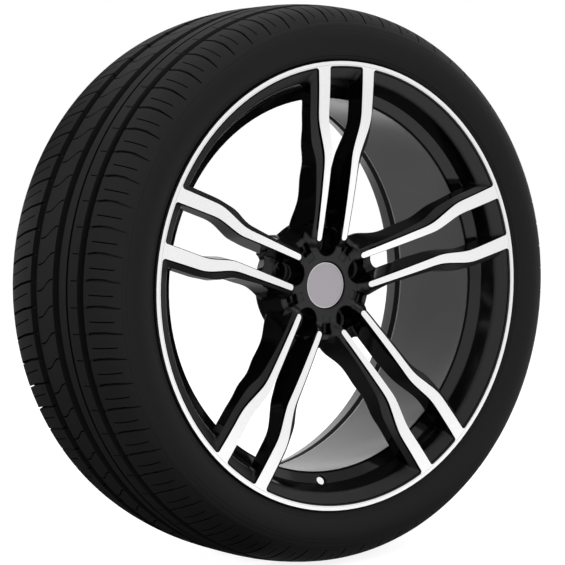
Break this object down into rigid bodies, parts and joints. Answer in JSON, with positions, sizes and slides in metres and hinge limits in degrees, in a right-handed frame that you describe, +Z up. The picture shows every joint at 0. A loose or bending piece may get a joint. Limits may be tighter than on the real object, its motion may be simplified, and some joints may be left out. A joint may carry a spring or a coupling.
{
  "type": "car wheel with tyre",
  "caption": "Low-profile road tyre on a cast alloy wheel with paired twin spokes, black with a turned bright face, plain snap-in centre cap and tyre valve.",
  "frame": {"origin": "on the spin axis, in the middle of the rim's width, which is also the middle of the tyre", "axes": "+Y along the spin axis towards the car, -Y towards the street, +Z up, +X to the right seen from the street"},
  "size_m": [0.6864, 0.255, 0.6863],
  "materials": {
    "wheel": "gloss black paint with a turned bright street face",
    "tyre": "matt black rubber",
    "cap_body": "gloss black",
    "cap_plate": "satin",
    "spring_steel": "plain",
    "valve_metal": "satin",
    "seal_rubber": "matt",
    "core_brass": "plain",
    "valve_cap": "bright"
  },
  "bodies": {
    "assembly": {"wheel": "wheel", "tyre": "tyre", "cap_body": "cap_body", "cap_plate": "cap_plate", "cap_wire_ring": "spring_steel", "valve_stem": "valve_metal", "valve_seal": "seal_rubber", "valve_nut": "valve_metal", "valve_core": "core_brass", "valve_cap": "valve_cap", "valve_cap_seal": "seal_rubber"},
    "core_pin": {"valve_pin": "core_brass"}
  },
  "joints": [
    {"name": "valve_pin_push", "type": "slide", "parent": "assembly", "child": "core_pin", "axis": [-0.0274, 0.8412, -0.5401], "range_m": [0, 0.0012], "stiffness_N_per_m": 400, "springref_m": -0.003}
  ]
}
